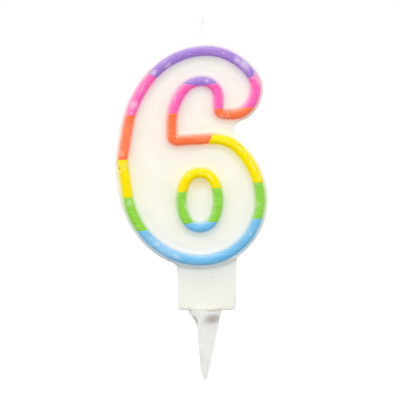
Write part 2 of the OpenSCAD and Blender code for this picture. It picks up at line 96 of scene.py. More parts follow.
def paint(red, green, blue):
    """The linear colour, with alpha, of a colour given by what it shows."""
    return (light_of(red), light_of(green), light_of(blue), 1.0)


WHITE = (1.0, 1.0, 1.0, 1.0)
WAX = paint(253, 250, 239)
WAX_CLOUD = paint(250, 247, 235)
WAX_FOOT_SHADE = paint(248, 247, 236)
COTTON = paint(255, 254, 248)
COTTON_SHADE = paint(252, 250, 240)
PLASTIC = paint(250, 250, 245)
PLASTIC_FLOW = paint(244, 244, 239)
# Painted shade for the pick's hollows
PLASTIC_SHADE = paint(190, 180, 168)
# The colour of a painted shadow inside the counter
COUNTER_SHADOW_COLOUR = paint(244, 226, 160)
FLECK = paint(250, 170, 130)
SPECK = paint(60, 50, 40)
FLOOR_PALE = paint(250, 250, 250)
FLOOR_SPECKLE = paint(246, 246, 246)


# Looks of the bead line's colours
class Look(NamedTuple):
    """How one colour of the bead line looks. Shares are from 0 to 1."""
    colour: tuple      # the wax's own colour
    bloom_and_highlight: tuple       # the pale colour of the film that lies on it, and of the painted highlights
    film: float        # the film's share
    gloss: float       # the shader's specular level
    flank_highlight: float  # the share of a painted highlight on the flank that faces up and left, towards the light
    flank_shade: float  # the share of painted shade, a deeper colour, on the flank turned away from the light
    deeper: float      # the power that makes the painted shade's deeper colour
    rim_pale: float    # the white wax's share where the bead turns from the front
    glow_strength: float       # how strong the colour's painted glow is on the wax beside it


LOOKS = {
    "violet": Look(
        colour=paint(162, 121, 207), bloom_and_highlight=paint(246, 240, 248), film=0.24, gloss=0.45,
        flank_highlight=0.18, flank_shade=0.3, deeper=1.3, rim_pale=0.4, glow_strength=1.0),
    "pink": Look(
        colour=paint(253, 97, 182), bloom_and_highlight=paint(253, 240, 248), film=0.2, gloss=0.4,
        flank_highlight=0.3, flank_shade=0.4, deeper=1.3, rim_pale=0.55, glow_strength=1.2),
    "orange": Look(
        colour=paint(255, 117, 57), bloom_and_highlight=paint(254, 238, 226), film=0.14, gloss=0.35,
        flank_highlight=0.24, flank_shade=0.0, deeper=1.3, rim_pale=0.6, glow_strength=1.1),
    "yellow": Look(
        colour=paint(255, 232, 0), bloom_and_highlight=paint(255, 250, 222), film=0.02, gloss=0.08,
        flank_highlight=0.02, flank_shade=0.9, deeper=1.8, rim_pale=0.0, glow_strength=1.3),
    "green": Look(
        colour=paint(143, 213, 58), bloom_and_highlight=paint(246, 250, 226), film=0.2, gloss=0.35,
        flank_highlight=0.16, flank_shade=0.2, deeper=1.3, rim_pale=0.5, glow_strength=1.0),
    "blue": Look(
        colour=paint(114, 190, 233), bloom_and_highlight=paint(240, 247, 252), film=0.24, gloss=0.45,
        flank_highlight=0.18, flank_shade=0.2, deeper=1.3, rim_pale=0.4, glow_strength=1.0),
}


def bead_colour(node):
    """The colour's name, which begins a bead's name."""
    return node.split("_")[0]


# Bead line: its pieces, how far they stray from the drawn line, and how finely they are cut
BEADS = [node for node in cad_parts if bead_colour(node) in LOOKS]
WANDER = 0.07 * MM
WANDER_LENGTH = 4.5 * MM
RIPPLE = 0.025 * MM
RIPPLE_LENGTH = 1.3 * MM
WANDER_SEED = 6
BEAD_STEP = 0.45 * MM
CUT_ROUNDS = 5
MOST_CORNERS = 4
SHARP_ANGLE = math.radians(50)

# Wax beside the beads: a low ridge, and a painted glow of the beads' colour, their light scattered into
# the wax, over three reaches, each with its share
RIDGE = 0.4 * MM
RIDGE_REACH = 1.5 * MM
NEAR_FRONT = 4 * MM
FAR_AWAY = 1.0
TINT_NEAR = 0.3 * MM
TINT_MIDDLE = 1.0 * MM
TINT_FAR = 5 * MM
TINTS = ((TINT_NEAR, 0.36), (TINT_MIDDLE, 0.16), (TINT_FAR, 0.1))
TINT_LEAST = 1e-12
RIM_TINT = 0.2

# Foot: its front lies behind the numeral's front, and its lower edges are worn
FOOT_TOP = photo_point(AXIS_COLUMN, FOOT_TOP_ROW).z
FOOT_DIP = 1.5 * MM
FOOT_DIP_FROM = 0.4 * MM
FOOT_DIP_REACH = 0.7 * MM
FOOT_EDGE = 1.0 * MM
FOOT_EDGE_FADE = 1.5 * MM

# Wear of the moulded pieces: welding and voxels in millimetres, and rounds of smoothing
WELD = 0.001
WAX_VOXEL = 0.25
WAX_ROUNDS = 9
PICK_VOXEL = 0.12
PICK_ROUNDS = 10
SMOOTHING = 0.5
SOFT_ROUNDS = 50

# Pick: where the run-outs below its head are worn softer
HOLLOW_MIDDLE = -2.4 * MM
HOLLOW_REACH = 1.2 * MM
HOLLOW_FADE = 1.0 * MM

# Wick: a cord of three strands, along the drawn route
WICK_FOOT = Vector((-2.0, 0.0, 67.5)) * MM
WICK_UPRIGHT = 4.6 * MM
WICK_BEND = 12 * MM
WICK_LEAN = math.radians(11)
WICK_BEND_LENGTH = WICK_BEND * WICK_LEAN
WICK_END = 3.85 * MM
WICK_LENGTH = WICK_UPRIGHT + WICK_BEND_LENGTH + WICK_END
STRANDS = 3
STRAND_R = 0.65 * MM
STRAND_OFF = 0.28 * MM
STRAND_TURN = 5.2 * MM
STRAND_STEPS = 64
STRAND_SIDES = 14
TIP_LEAST = 0.02


# Oval marks
class Mark(NamedTuple):
    """An oval mark: place and size in the photograph's pixels, turn in degrees, and strength."""
    column: float
    row: float
    long: float
    wide: float
    turn: float
    strength: float


# Pale marks on the beads of each colour: blooms, scratches, cracks and spots, and painted highlights:
# the glints, a lit flank in the counter and a lightened shaded flank under the hook
WEAR_AND_GLINTS = {
    "violet": {
        "crown_left_bloom": Mark(153.5, 72.8, 11, 8, 40, 0.8),
        "crown_inner_bloom": Mark(167.8, 65.8, 10, 5, 30, 0.5),
        "crown_left_scratch": Mark(179.6, 56.2, 5, 1.2, 75, 0.45),
        "crown_scratch": Mark(223.2, 53.3, 7, 1.0, -62, 0.6),
        "crown_right_bloom": Mark(237.5, 60.5, 11, 9, -42, 0.6),
        "crown_right_patch": Mark(244.0, 65.0, 18, 10, -48, 0.7),
        "crown_right_edge": Mark(245.6, 61.0, 9, 4, -48, 0.9),
        "crown_end_bloom": Mark(255.2, 73.5, 7, 4, 60, 0.9),
        "crown_left_glint": Mark(165.6, 60.8, 22, 1.7, 38, 0.4),
        "arch_glint": Mark(190.5, 82.0, 13, 1.7, 18, 0.4),
        "arch_spot": Mark(206.6, 81.0, 6, 4.6, 0, 0.5),
    },
    "pink": {
        "left_patch": Mark(133.0, 104.6, 15, 11, 65, 0.7),
        "left_spot": Mark(131.0, 113.2, 8, 5, 10, 0.28),
        "left_glint": Mark(142.0, 89.5, 19, 1.8, 61, 0.5),
        "arch_upper_glint": Mark(179.6, 90.4, 13, 1.7, 52, 0.5),
        "arch_lower_glint": Mark(175.2, 100.0, 15, 1.7, 76, 0.45),
        "hook_joint": Mark(252.5, 78.5, 5, 2.5, 80, 0.4),
        "hook_film": Mark(257.8, 78.0, 19, 9, -68, 0.55),
    },
    "orange": {
        "hook_scratch": Mark(228.0, 114.6, 9, 1.3, -62, 0.8),
        "hook_under_painted_light": Mark(222.0, 116.4, 14, 5, -22, 0.25),
        "corner_spot": Mark(178.6, 136.4, 4, 2, 40, 0.6),
        "joint_patch": Mark(205.0, 138.2, 6, 3, 80, 0.2),
        "left_film": Mark(124.5, 138.0, 50, 16, 80, 0.12),
        "left_end": Mark(121.5, 153.0, 11, 9, 90, 0.4),
    },
    "yellow": {
        "upper_crack": Mark(124.0, 165.0, 13, 1.3, 38, 0.8),
        "lower_crack": Mark(124.6, 168.6, 12, 1.1, 42, 0.8),
        "side_crack": Mark(121.2, 172.0, 6, 1.2, 60, 0.6),
        "counter_left_glint": Mark(188.6, 175.6, 7, 2.4, 42, 0.5),
        "counter_top_glint": Mark(201.0, 173.2, 6, 2.0, 0, 0.5),
        "counter_right_glint": Mark(209.5, 176.5, 12, 2.4, -50, 0.5),
        "shoulder_start_glint": Mark(225.0, 141.0, 20, 1.8, -18, 0.25),
        "shoulder_upper_glint": Mark(241.5, 149.8, 24, 2.4, -41, 0.38),
        "shoulder_lower_glint": Mark(252.5, 165.0, 23, 2.4, -60, 0.38),
        "shoulder_end_glint": Mark(258.8, 177.0, 9, 2.2, -69, 0.3),
    },
    "green": {
        "left_patch": Mark(129.2, 203.0, 10, 7, 80, 0.4),
        "right_scratch": Mark(258.2, 205.8, 8, 1.4, 55, 0.6),
        "right_patch": Mark(257.0, 204.6, 8, 7, 40, 0.35),
        "counter_left_flank_highlight": Mark(188.2, 211.0, 24, 4, -64, 0.6),
    },
    "blue": {
        "right_scratch": Mark(250.2, 234.4, 8, 1.1, -52, 0.6),
        "right_patch": Mark(249.5, 231.6, 7, 4, -40, 0.35),
        "left_film": Mark(160.0, 246.0, 52, 16, -36, 0.28),
        "left_patch": Mark(157.6, 243.6, 12, 6, -38, 0.6),
        "left_streak": Mark(161.6, 251.0, 10, 2.4, 85, 0.55),
        "base_patch": Mark(175.4, 256.0, 14, 7, -20, 0.5),
        "counter_top": Mark(199.5, 222.6, 30, 3.6, 0, 0.5),
    },
}

# Other marks: pink that lies below the violet arch, a painted shadow inside the counter under the yellow
# bead, a dark speck, a fleck, and painted shade in the hollows below the pick's head
ARCH_SOAK = Mark(202.0, 87.3, 24, 4.8, 0, 1.0)
COUNTER_SHADOW = Mark(199.0, 178.0, 30, 28, 0, 0.7)
SPECK_WIDE = 0.44 * MM / PIXEL
SPECK_MARK = Mark(119.5, 168.3, SPECK_WIDE, SPECK_WIDE, 0, 1.0)
FLECK_WIDE = 0.48 * MM / PIXEL
FLECK_MARK = Mark(212.3, 277.2, FLECK_WIDE, FLECK_WIDE, 0, 1.0)
# Painted shade in the run-outs below the pick's head, and a painted shadow along the joint under the
# foot
HOLLOW_SHADE = {
    "right": Mark(213.4, 320.1, 22, 11.6, 8, 0.74),
    "left": Mark(194.6, 320.2, 14, 7.5, -55, 0.85),
    "seam": Mark(214.0, 311.2, 22, 1.8, 0, 0.7),
}

# Every mark: how deep it reaches behind the front, and between which shares of its half size it fades
MARK_DEPTH = 8 * MM
MARK_FADE = (0.3, 1.1)


# Noise in the materials
class Grain(NamedTuple):
    """Noise by the length of its features, its detail, and how it is pressed together along the axes."""
    length: float
    detail: float
    press: tuple = None


NOISE_MIDDLE = (0.5, 0.5, 0.5)

# White wax: ranges give where a value starts and ends, then what it starts and ends as
CLOUD = Grain(5.5 * MM, 4.0)
CLOUD_RANGE = (0.38, 0.68, 0.0, 1.0)
FLECK_EDGE = Grain(0.3 * MM, 3.0)
FLECK_SHIFT = 0.2 * MM
WAX_GRAIN = Grain(0.5 * MM, 4.0)
WAX_ROUGHNESS = (0.3, 0.7, 0.4, 0.52)
WAX_SWELL = Grain(3.5 * MM, 2.0)
WAX_SWELL_SHARE = 2.0
WAX_BUMP = {"Strength": 0.25, "Distance": 0.06 * MM}
WAX_SCATTER = (1.0, 0.9, 0.8)
WAX_SHADER = {
    "Subsurface Weight": 0.2,
    "Subsurface Radius": WAX_SCATTER,
    "Subsurface Scale": 2 * MM,
    "Specular IOR Level": 0.3,
}

# Coloured wax: a range of two numbers leaves what it starts and ends as to the colour's look
BLOOM_AND_HIGHLIGHT_SHARE = 0.72
BAND_DEEPER = 1.3
STREAK = Grain(1.0, 2.0, (140.0, 140.0, 2600.0))
BAND_RANGE = (0.4, 0.72, 0.0, 0.6)
STREAK_FILM_RANGE = (0.28, 0.44)
STREAK_FILM_SHARE = 0.5
# The side the light comes from, up and left: bead sides turned to it get painted highlights, and sides
# turned away get painted shade
LIT_SIDE = (-0.62, 0.0, 0.78)
SHADE_RANGE = (-0.8, -0.15)
HIGHLIGHT_RANGE = (0.05, 0.85)
RIM_RANGE = (0.25, 0.66)
# A painted highlight: a thin line along each bead where it turns partly towards the light, broken by
# noise
GLINT_LINE_AT = 0.42
GLINT_LINE_RANGE = (0.0, 0.16, 0.22, 0.0)
GLINT_LINE_BREAKS = Grain(5 * MM, 2.0)
GLINT_LINE_BREAK_RANGE = (0.46, 0.6, 0.0, 1.0)
MARK_EDGE = Grain(0.7 * MM, 3.0)
MARK_SHIFT = 0.55 * MM
MARK_BREAKS = Grain(0.55 * MM, 3.0)
MARK_BREAK_RANGE = (0.32, 0.62, 0.5, 1.0)
FILM = Grain(2.6 * MM, 5.0)
FILM_RANGE = (0.56, 0.8)
BEAD_ROUGHNESS = (0.0, 0.7, 0.3, 0.5)
BEAD_GRAIN = Grain(0.6 * MM, 3.0)
BEAD_BUMP = {"Strength": 0.3, "Distance": 0.05 * MM}
BEAD_EVEN = 0.3
BEAD_SHADER = {
    "Subsurface Weight": 0.05,
    "Subsurface Radius": WAX_SCATTER,
    "Subsurface Scale": 0.9 * MM,
}

# Cotton: threads along the strands
THREAD = Grain(0.12 * MM, 3.0, (1.0, 1.0, 0.16))
THREAD_RANGE = (0.42, 0.7, 0.0, 0.8)
COTTON_ROUGHNESS = (0.3, 0.7, 0.55, 0.75)
COTTON_BUMP = {"Strength": 0.1, "Distance": 0.03 * MM}
COTTON_SHADER = {"Sheen Weight": 0.2}

# Plastic: flow lines along the pick
FLOW = Grain(0.9 * MM, 3.0, (1.0, 1.0, 0.22))
FLOW_RANGE = (0.35, 0.7, 0.0, 1.0)
PLASTIC_GRAIN = Grain(0.25 * MM, 2.0)
PLASTIC_ROUGHNESS = (0.3, 0.7, 0.36, 0.5)
PLASTIC_BUMP = {"Strength": 0.15, "Distance": 0.04 * MM}
PLASTIC_SHADER = {
    "Subsurface Weight": 0.2,
    "Subsurface Radius": (1.0, 1.0, 0.95),
    "Subsurface Scale": 0.8 * MM,
    "Specular IOR Level": 0.5,
}

# Floor and fill
FLOOR_Z = -60 * MM
FLOOR_HALF = 6.0
FLOOR_CORNERS = ((-1, -1), (1, -1), (1, 1), (-1, 1))
FLOOR_GRAIN = Grain(9 * MM, 3.0)
FLOOR_LIFT_RANGE = (0.12, 0.6, 0.15, 0.85)
FLOOR_BOUNCE = (0.38, 0.38, 0.38, 1.0)
FILL_RANGE = (0.0, 1.0, 0.97, 0.34)
WHITE_STRENGTH = 1.0


# Lamps
class Lamp(NamedTuple):
    """A square softbox: its place and side in metres, and its power in watts."""
    place: tuple
    size: float
    power: float


LAMPS = {
    "top": Lamp((0.0, -0.15, 0.60), 0.30, 0.88),
    "near_top": Lamp((0.0, -0.25, 0.22), 0.12, 0.155),
    "upper_left": Lamp((-0.40, -0.14, 0.42), 0.20, 0.42),
    "left": Lamp((-0.45, -0.25, 0.06), 0.20, 0.47),
    "right": Lamp((0.45, -0.25, 0.06), 0.20, 0.57),
    "low": Lamp((0.0, -0.40, -0.03), 0.20, 0.15),
    "back": Lamp((0.0, 0.55, 0.06), 0.30, 1.2),
}
LAMP_TARGET = Vector((0.0, 0.0, 40 * MM))

# Camera
CAMERA_AWAY = 700 * MM
CAMERA_TILT = math.radians(90)
SENSOR = 36
CLIP_START = 10 * MM
CLIP_END = 50.0


# Mesh helpers
def add_object(name, data):
    """A new object of the scene for a mesh, a lamp or a camera."""
    piece = bpy.data.objects.new(name, data)
    bpy.context.scene.collection.objects.link(piece)
    return piece


def rows_of(mesh, key):
    """The places, co, or the directions, normal, of the mesh's points as rows of an array."""
    rows = np.empty(len(mesh.vertices) * 3)
    mesh.vertices.foreach_get(key, rows)
    return rows.reshape(-1, 3)


def set_points(mesh, points):
    """Moves the mesh's points to the rows of an array."""
    mesh.vertices.foreach_set("co", points.ravel())
    mesh.update()


def start_copy(node, name):
    """A copy of a CAD node in millimetres, with a weld to be applied and no material."""
    piece = add_object(name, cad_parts[node].data.copy())
    piece.data.materials.clear()
    piece.data.transform(Matrix.Scale(1 / MM, 4))
    weld = piece.modifiers.new("weld", "WELD")
    weld.merge_threshold = WELD
    return piece


def end_copy(piece):
    """Puts what the modifiers make into the piece's mesh, and takes it from millimetres to metres."""
    bpy.context.view_layer.update()
    view = piece.evaluated_get(bpy.context.evaluated_depsgraph_get())
    mesh = bpy.data.meshes.new_from_object(view)
    piece.modifiers.clear()
    piece.data = mesh
    mesh.transform(Matrix.Scale(MM, 4))
    mesh.shade_smooth()


def add_smoothing(piece, rounds, group=""):
    """Smooths a piece, or the points of one group alone."""
    smooth = piece.modifiers.new("smooth", "SMOOTH")
    smooth.factor = SMOOTHING
    smooth.iterations = rounds
    smooth.vertex_group = group


def moulded_copy(node, name, voxel, rounds):
    """A copy of a CAD node, with its edges worn round."""
    piece = start_copy(node, name)
    remesh = piece.modifiers.new("remesh", "REMESH")
    remesh.mode = "VOXEL"
    remesh.voxel_size = voxel
    add_smoothing(piece, rounds)
    end_copy(piece)
    return piece


def soften(piece, weights):
    """Smooths a piece further where the weights of its points are above 0."""
    group = piece.vertex_groups.new(name="soft")
    for index in np.nonzero(weights > 0)[0]:
        group.add([int(index)], float(weights[index]), "REPLACE")
    piece.data.transform(Matrix.Scale(1 / MM, 4))
    add_smoothing(piece, SOFT_ROUNDS, "soft")
    end_copy(piece)
    piece.vertex_groups.clear()


def cut_long_edges(mesh):
    """Cuts a mesh's edges in half, until none is longer than the bead's step or the rounds are over."""
    work = bmesh.new()
    work.from_mesh(mesh)
    for _ in range(CUT_ROUNDS):
        longs = [edge for edge in work.edges if edge.calc_length() > BEAD_STEP]
        if not longs:
            break
        bmesh.ops.subdivide_edges(work, edges=longs, cuts=1)
        many_sided = [face for face in work.faces if len(face.verts) > MOST_CORNERS]
        bmesh.ops.triangulate(work, faces=many_sided)
    work.to_mesh(mesh)
    work.free()


def wander(point):
    """How far hand-laid wax strays at a point, the same for every piece that meets there."""
    slow = noise.noise_vector(Vector(point) / WANDER_LENGTH)
    fast = noise.noise_vector(Vector(point) / RIPPLE_LENGTH)
    return slow * WANDER + fast * RIPPLE


def tree_of(node):
    """A search tree of a CAD node's surface."""
    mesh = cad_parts[node].data
    faces = [tuple(face.vertices) for face in mesh.polygons]
    return BVHTree.FromPolygons([vertex.co for vertex in mesh.vertices], faces)


def eased(values):
    """Values held between 0 and 1, and eased at both ends."""
    held = np.clip(values, 0, 1)
    return held * held * (3 - 2 * held)


# Material helpers
def new_material(name):
    """A material, its node tree, its shader and the place on the object that its nodes read."""
    material = bpy.data.materials.new(name)
    material.use_nodes = True
    tree = material.node_tree
    place = add_node(tree, "TexCoord").outputs["Object"]
    return material, tree, tree.nodes["Principled BSDF"], place


def add_node(tree, kind, *values, **settings):
    """A node with its settings, and with its inputs set or linked in order. Returns the node."""
    node = tree.nodes.new("ShaderNode" + kind)
    for key, value in settings.items():
        setattr(node, key, value)
    for socket, value in zip(node.inputs, values):
        put(tree, socket, value)
    return node


def put(tree, socket, value):
    """Links or sets one input."""
    if isinstance(value, bpy.types.NodeSocket):
        tree.links.new(value, socket)
    else:
        socket.default_value = value


def put_named(tree, node, values):
    """Links or sets some of a node's inputs by their names."""
    for name, value in values.items():
        put(tree, node.inputs[name], value)


def math_of(tree, operation, *numbers):
    """The result of a sum on some numbers."""
    return add_node(tree, "Math", *numbers, operation=operation).outputs[0]


def range_of(tree, value, low, high, start, end):
    """A number carried smoothly from one range to another."""
    node = add_node(tree, "MapRange", interpolation_type="SMOOTHSTEP")
    put_named(tree, node, {
        "Value": value,
        "From Min": low,
        "From Max": high,
        "To Min": start,
        "To Max": end,
    })
    return node.outputs[0]


def mix_of(tree, share, first, second):
    """One colour carried into another."""
    node = add_node(tree, "Mix", share, data_type="RGBA")
    first_socket, second_socket = [socket for socket in node.inputs if socket.type == "RGBA"]
    put(tree, first_socket, first)
    put(tree, second_socket, second)
    return [socket for socket in node.outputs if socket.type == "RGBA"][0]


def noise_node(tree, place, grain):
    """The node of some noise."""
    if grain.press is not None:
        mapping = add_node(tree, "Mapping")
        put_named(tree, mapping, {"Vector": place, "Scale": grain.press})
        place = mapping.outputs[0]
    node = add_node(tree, "TexNoise")
    put_named(tree, node, {"Vector": place, "Scale": 1 / grain.length, "Detail": grain.detail})
    return node


def noise_of(tree, place, grain):
    """Even noise from 0 to 1."""
    return noise_node(tree, place, grain).outputs["Fac"]


def ragged_place(tree, place, grain, shift):
    """The place, shifted a little by noise so that what is drawn there has ragged edges."""
    shifts = noise_node(tree, place, grain).outputs["Color"]
    even = add_node(tree, "VectorMath", shifts, NOISE_MIDDLE, operation="SUBTRACT")
    small = add_node(tree, "VectorMath", even.outputs[0], operation="SCALE")
    small.inputs["Scale"].default_value = shift
    return add_node(tree, "VectorMath", place, small.outputs[0], operation="ADD").outputs[0]


def mark_of(tree, place, mark):
    """A mark's strength inside it, and 0 outside it."""
    mapping = add_node(tree, "Mapping", vector_type="TEXTURE")
    put_named(tree, mapping, {
        "Vector": place,
        "Location": photo_point(mark.column, mark.row),
        "Rotation": (0.0, -math.radians(mark.turn), 0.0),
        "Scale": (mark.long * PIXEL / 2, MARK_DEPTH, mark.wide * PIXEL / 2),
    })
    away = add_node(tree, "VectorMath", mapping.outputs[0], operation="LENGTH").outputs["Value"]
    return range_of(tree, away, *MARK_FADE, mark.strength, 0.0)


def marks_of(tree, place, marks):
    """The strongest of some marks at a place."""
    strongest, *others = [mark_of(tree, place, mark) for mark in marks.values()]
    for other in others:
        strongest = math_of(tree, "MAXIMUM", strongest, other)
    return strongest


def softened_normal(tree):
    """The surface's direction, turned part of the way to the front, as light evens out inside a bead."""
    normal = add_node(tree, "NewGeometry").outputs["Normal"]
    keep = 1 - BEAD_EVEN
    turned = add_node(tree, "VectorMath", normal, (keep, keep, keep), (0.0, -BEAD_EVEN, 0.0),
                      operation="MULTIPLY_ADD")
    return add_node(tree, "VectorMath", turned.outputs[0], operation="NORMALIZE").outputs[0]


def bump_of(tree, height, bump):
    """The node that roughens a surface by a height."""
    node = add_node(tree, "Bump")
    put_named(tree, node, bump)
    put(tree, node.inputs["Height"], height)
    return node


def deepened(colour, power):
    """A colour made deeper by a power."""
    return (*(part ** power for part in colour[:3]), 1.0)


def part_way(colour, other, share):
    """A colour carried part of the way to another."""
    return (*(part + (end - part) * share for part, end in zip(colour[:3], other)), 1.0)


# Materials
def wax_material():
    """White wax: cloudy, faintly translucent, with a painted glow of the beads' colour beside them,
    painted shade on the foot and a painted shadow inside the counter.
    """
    material, tree, shader, place = new_material("white_wax")
    cloud = range_of(tree, noise_of(tree, place, CLOUD), *CLOUD_RANGE)
    colour = mix_of(tree, cloud, WAX, WAX_CLOUD)
    above = add_node(tree, "SeparateXYZ", place).outputs["Z"]
    # Painted shade: the foot's wax a little darker and greyer, as it gets less light
    on_foot = range_of(tree, above, FOOT_TOP - FOOT_DIP_REACH, FOOT_TOP, 1.0, 0.0)
    colour = mix_of(tree, on_foot, colour, WAX_FOOT_SHADE)
    # Painted glow: the beads' colour, standing for their light scattered into the wax, mixed into the
    # wax's own colour
    bead_glow = add_node(tree, "Attribute", attribute_name="bead_glow")
    colour = mix_of(tree, bead_glow.outputs["Alpha"], colour, bead_glow.outputs["Color"])
    # Painted shadow, tinged yellow, under the yellow bead inside the counter
    colour = mix_of(tree, mark_of(tree, place, COUNTER_SHADOW), colour, COUNTER_SHADOW_COLOUR)
    ragged = ragged_place(tree, place, FLECK_EDGE, FLECK_SHIFT)
    colour = mix_of(tree, mark_of(tree, ragged, FLECK_MARK), colour, FLECK)
    grain = noise_of(tree, place, WAX_GRAIN)
    swell = noise_of(tree, place, WAX_SWELL)
    height = math_of(tree, "MULTIPLY_ADD", swell, WAX_SWELL_SHARE, grain)
    put_named(tree, shader, WAX_SHADER)
    put_named(tree, shader, {
        "Base Color": colour,
        "Roughness": range_of(tree, grain, *WAX_ROUGHNESS),
        "Normal": bump_of(tree, height, WAX_BUMP).outputs[0],
    })
    return material


def bead_material(name):
    """Coloured wax: satin, in level streaks, with a pale film, scuffs and scratches, painted highlights
    and glints on the side towards the light and painted shade on the side away from it.
    """
    look = LOOKS[name]
    material, tree, shader, place = new_material(name + "_wax")
    outward = add_node(tree, "TexCoord").outputs["Normal"]
    side = add_node(tree, "VectorMath", outward, LIT_SIDE, operation="DOT_PRODUCT").outputs["Value"]
    facing = math_of(tree, "MULTIPLY", add_node(tree, "SeparateXYZ", outward).outputs["Y"], -1.0)
    pale = part_way(look.colour, look.bloom_and_highlight, BLOOM_AND_HIGHLIGHT_SHARE)

    streak = noise_of(tree, place, STREAK)
    band = deepened(look.colour, BAND_DEEPER)
    body = mix_of(tree, range_of(tree, streak, *BAND_RANGE), look.colour, band)
    streak_film = range_of(tree, streak, *STREAK_FILM_RANGE, look.film * STREAK_FILM_SHARE, 0.0)
    body = mix_of(tree, streak_film, body, pale)
    # Painted shade: a deeper colour on the side turned away from the light
    under = range_of(tree, side, *SHADE_RANGE, look.flank_shade, 0.0)
    body = mix_of(tree, under, body, deepened(look.colour, look.deeper))

    ragged = ragged_place(tree, place, MARK_EDGE, MARK_SHIFT)
    breaks = range_of(tree, noise_of(tree, place, MARK_BREAKS), *MARK_BREAK_RANGE)
    # Scuffs, blooms and cracks, with the painted highlights among them
    marks = math_of(tree, "MULTIPLY", marks_of(tree, ragged, WEAR_AND_GLINTS[name]), breaks)
    film = range_of(tree, noise_of(tree, place, FILM), *FILM_RANGE, 0.0, look.film)
    # Painted highlight on the side of the bead that faces the light
    flank = range_of(tree, side, *HIGHLIGHT_RANGE, 0.0, look.flank_highlight)
    # Painted highlight: a thin bright line along the bead
    off_line = math_of(tree, "ABSOLUTE", math_of(tree, "SUBTRACT", side, GLINT_LINE_AT))
    line_breaks = range_of(tree, noise_of(tree, place, GLINT_LINE_BREAKS), *GLINT_LINE_BREAK_RANGE)
    line = math_of(tree, "MULTIPLY", range_of(tree, off_line, *GLINT_LINE_RANGE), line_breaks)
    # The pale colour carries the real film and scuffs, and also the painted highlights
    pale_share = marks
    for share in (film, flank, line):
        pale_share = math_of(tree, "MAXIMUM", pale_share, share)
    body = mix_of(tree, pale_share, body, pale)

    rim = range_of(tree, facing, *RIM_RANGE, look.rim_pale, 0.0)
    body = mix_of(tree, rim, body, WAX)
    if name == "violet":
        body = mix_of(tree, mark_of(tree, ragged, ARCH_SOAK), body, LOOKS["pink"].colour)
    if name == "yellow":
        body = mix_of(tree, mark_of(tree, place, SPECK_MARK), body, SPECK)

    height = math_of(tree, "SUBTRACT", noise_of(tree, place, BEAD_GRAIN), marks)
    bump = bump_of(tree, height, BEAD_BUMP)
    put(tree, bump.inputs["Normal"], softened_normal(tree))
    put_named(tree, shader, BEAD_SHADER)
    put_named(tree, shader, {
        "Base Color": body,
        "Roughness": range_of(tree, pale_share, *BEAD_ROUGHNESS),
        "Normal": bump.outputs[0],
        "Specular IOR Level": look.gloss,
    })
    return material


def cotton_material():
    """Waxed cotton: pale threads that run along the strands."""
    material, tree, shader, place = new_material("cotton")
    thread = noise_of(tree, place, THREAD)
    put_named(tree, shader, COTTON_SHADER)
    put_named(tree, shader, {
        "Base Color": mix_of(tree, range_of(tree, thread, *THREAD_RANGE), COTTON, COTTON_SHADE),
        "Roughness": range_of(tree, thread, *COTTON_ROUGHNESS),
        "Normal": bump_of(tree, thread, COTTON_BUMP).outputs[0],
    })
    return material


def plastic_material():
    """Moulded pale plastic, with faint flow lines along the pick, painted shade in the hollows below its
    head and a painted shadow where it meets the foot.
    """
    material, tree, shader, place = new_material("pick_plastic")
    flow = noise_of(tree, place, FLOW)
    grain = noise_of(tree, place, PLASTIC_GRAIN)
    colour = mix_of(tree, range_of(tree, flow, *FLOW_RANGE), PLASTIC, PLASTIC_FLOW)
    height = math_of(tree, "ADD", flow, grain)
    put_named(tree, shader, PLASTIC_SHADER)
    put_named(tree, shader, {
        # Painted shade in the hollows, and a painted shadow at the joint under the foot
        "Base Color": mix_of(tree, marks_of(tree, place, HOLLOW_SHADE), colour, PLASTIC_SHADE),
        "Roughness": range_of(tree, grain, *PLASTIC_ROUGHNESS),
        "Normal": bump_of(tree, height, PLASTIC_BUMP).outputs[0],
    })
    return material


# Wax body: the moulded slab, raised to a low ridge along the bead line
def bead_distances(points):
    """How far points of the wax lie from the beads: a row for each colour, in the order of the looks."""
    near_front = np.nonzero(points[:, Y] < FRONT + NEAR_FRONT)[0]
    table = np.full((len(LOOKS), len(points)), FAR_AWAY)
    for row, name in zip(table, LOOKS):
        trees = [tree_of(node) for node in BEADS if bead_colour(node) == name]
        for index in near_front:
            found = [tree.find_nearest(Vector(points[index])) for tree in trees]
            row[index] = min(distance for _, _, _, distance in found)
    return table


def painted_bead_glow(table, facing):
    """The painted glow at each point of the wax, the beads' light scattered into it, with its share as
    the alpha.
    """
    nearest = table.min(axis=0)
    weights = np.exp(-table / TINT_MIDDLE) + TINT_LEAST
    weights /= weights.sum(axis=0)
    colours = np.array([look.colour[:3] for look in LOOKS.values()])
    glow_strength = weights.T @ np.array([look.glow_strength for look in LOOKS.values()])
    glow_share = sum(share * np.exp(-nearest / reach) for reach, share in TINTS)
    turned = RIM_TINT + (1 - RIM_TINT) * facing
    return np.column_stack((weights.T @ colours, np.minimum(glow_share * glow_strength * turned, 1)))


